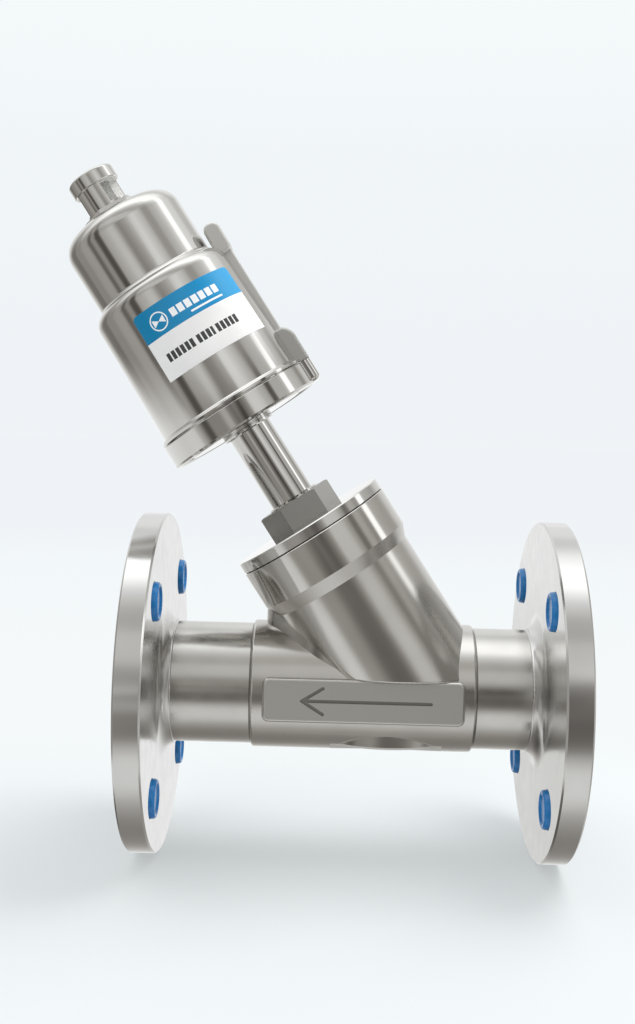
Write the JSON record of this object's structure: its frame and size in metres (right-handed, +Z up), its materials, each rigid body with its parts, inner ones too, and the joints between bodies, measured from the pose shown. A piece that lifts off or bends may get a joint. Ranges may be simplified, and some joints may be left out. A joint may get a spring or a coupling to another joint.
{
  "type": "angle seat valve",
  "caption": "Pneumatic angle seat valve with flanged pipe ends, inclined neck and bonnet, yoke tube and a polished piston actuator with an indicator on top.",
  "frame": {"origin": "centre of the inlet flange's bolt circle, on the flange's front plane (the raised face stands 1.5 mm proud of it)", "axes": "+X leaves the valve through the inlet along the flow axis, +Z is up in the plane of the leaning stem, +Y is square to both and is away from the side that carries the label"},
  "size_m": [0.2382, 0.16, 0.322],
  "materials": {
    "cast_steel": "bead-blasted satin stainless casting and pipe",
    "flange_steel": "turned and polished stainless steel",
    "machined_steel": "machined and polished stainless steel",
    "polished_steel": "polished stainless steel",
    "spring_steel": "drawn spring wire",
    "piston_alloy": "turned aluminium",
    "white_ptfe": "white fluoropolymer",
    "black_seal": "black elastomer",
    "bronze": "bearing bronze",
    "label_film": "printed metallised film, blue band over silver",
    "blue_plastic": "moulded blue polyethylene, used by the removable bolt hole plugs of the visual model"
  },
  "bodies": {
    "valve_body": {"valve_body": "cast_steel", "inlet_stub": "cast_steel", "outlet_stub": "cast_steel", "inlet_flange": "flange_steel", "outlet_flange": "flange_steel", "bonnet": "machined_steel", "bonnet_gasket": "black_seal", "packing_spring": "spring_steel", "packing_washer": "machined_steel", "packing_rings": "white_ptfe", "guide_bush": "bronze", "gland_nut": "machined_steel", "yoke_tube": "machined_steel", "tube_lock_ring": "machined_steel", "swivel_collar": "machined_steel"},
    "stem": {"stem": "machined_steel", "plug": "machined_steel", "plug_pin": "machined_steel", "plug_seal": "white_ptfe", "seal_retainer": "machined_steel", "plug_nut": "machined_steel", "piston": "piston_alloy", "piston_seal": "black_seal", "piston_wear_ring": "white_ptfe", "piston_washer": "machined_steel", "piston_nut": "machined_steel", "indicator_rod": "machined_steel"},
    "actuator": {"actuator_shell": "polished_steel", "actuator_base": "polished_steel", "base_o_ring": "black_seal", "rod_bush": "bronze", "rod_seal": "black_seal", "port_rail": "polished_steel", "return_spring": "spring_steel", "indicator_housing": "polished_steel", "indicator_o_ring": "black_seal", "label": "label_film"}
  },
  "joints": [
    {"name": "actuator_swivel", "type": "hinge", "parent": "valve_body", "child": "actuator", "pos_m": [-0.1536, 0, 0.12488], "axis": [-0.554, 0, 0.8325], "continuous": true},
    {"name": "stem_lift", "type": "slide", "parent": "actuator", "child": "stem", "axis": [-0.554, 0, 0.8325], "range_m": [0, 0.0135], "stiffness_N_per_m": 9000, "springref_m": -0.02, "deforming": ["return_spring"]}
  ]
}
